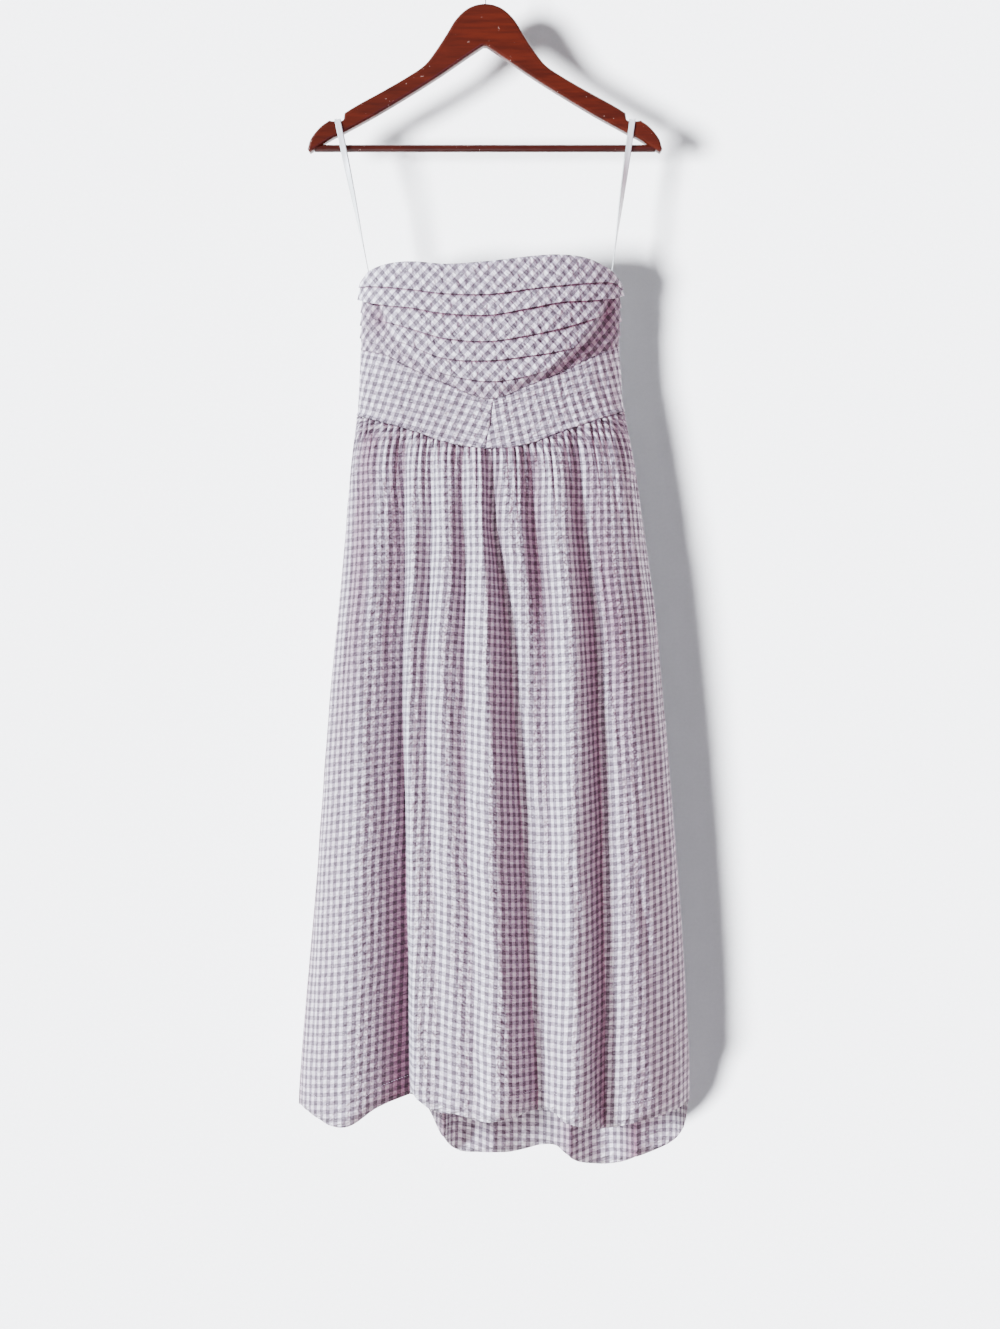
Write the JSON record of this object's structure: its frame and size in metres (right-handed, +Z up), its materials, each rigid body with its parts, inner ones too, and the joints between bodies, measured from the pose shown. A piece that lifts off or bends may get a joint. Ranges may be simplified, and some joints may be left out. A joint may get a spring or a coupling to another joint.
{
  "type": "strapless dress on wooden hanger",
  "caption": "Strapless check dress with pleated bust, V midriff and gathered skirt whose back hem dips, hung by ribbon loops on a wooden hanger.",
  "frame": {"origin": "inner top of the hanger's hook, where it bears on a rail", "axes": "+Z up along the hook's stem, the dress's front facing -Y, +X to the right as seen from in front"},
  "size_m": [0.488, 0.1846, 1.5547],
  "materials": {
    "gingham": "matte puckered seersucker, small lilac and white check",
    "satin": "satin ribbon",
    "lacquered_wood": "mahogany lacquer, satin gloss, small scuffs",
    "bar_wood": "dark lacquer",
    "hook_steel": "plain wire",
    "zip_metal": "enamelled to match the cloth"
  },
  "bodies": {
    "dress": {"bust_front": "gingham", "midriff_front_left": "gingham", "midriff_front_right": "gingham", "bodice_back_left": "gingham", "bodice_back_right": "gingham", "skirt_front": "gingham", "skirt_back_left": "gingham", "skirt_back_right": "gingham", "loop_left": "satin", "loop_right": "satin", "hanger_body": "lacquered_wood", "hanger_bar": "bar_wood", "hanger_hook": "hook_steel", "zip_slider": "zip_metal"},
    "zip_tab": {"zip_tab": "zip_metal"}
  },
  "joints": [
    {"name": "zip_pull_hinge", "type": "hinge", "parent": "dress", "child": "zip_tab", "pos_m": [0.0075, 0.0372, -0.443], "axis": [1, 0, 0], "range_deg": [0, 160]}
  ]
}
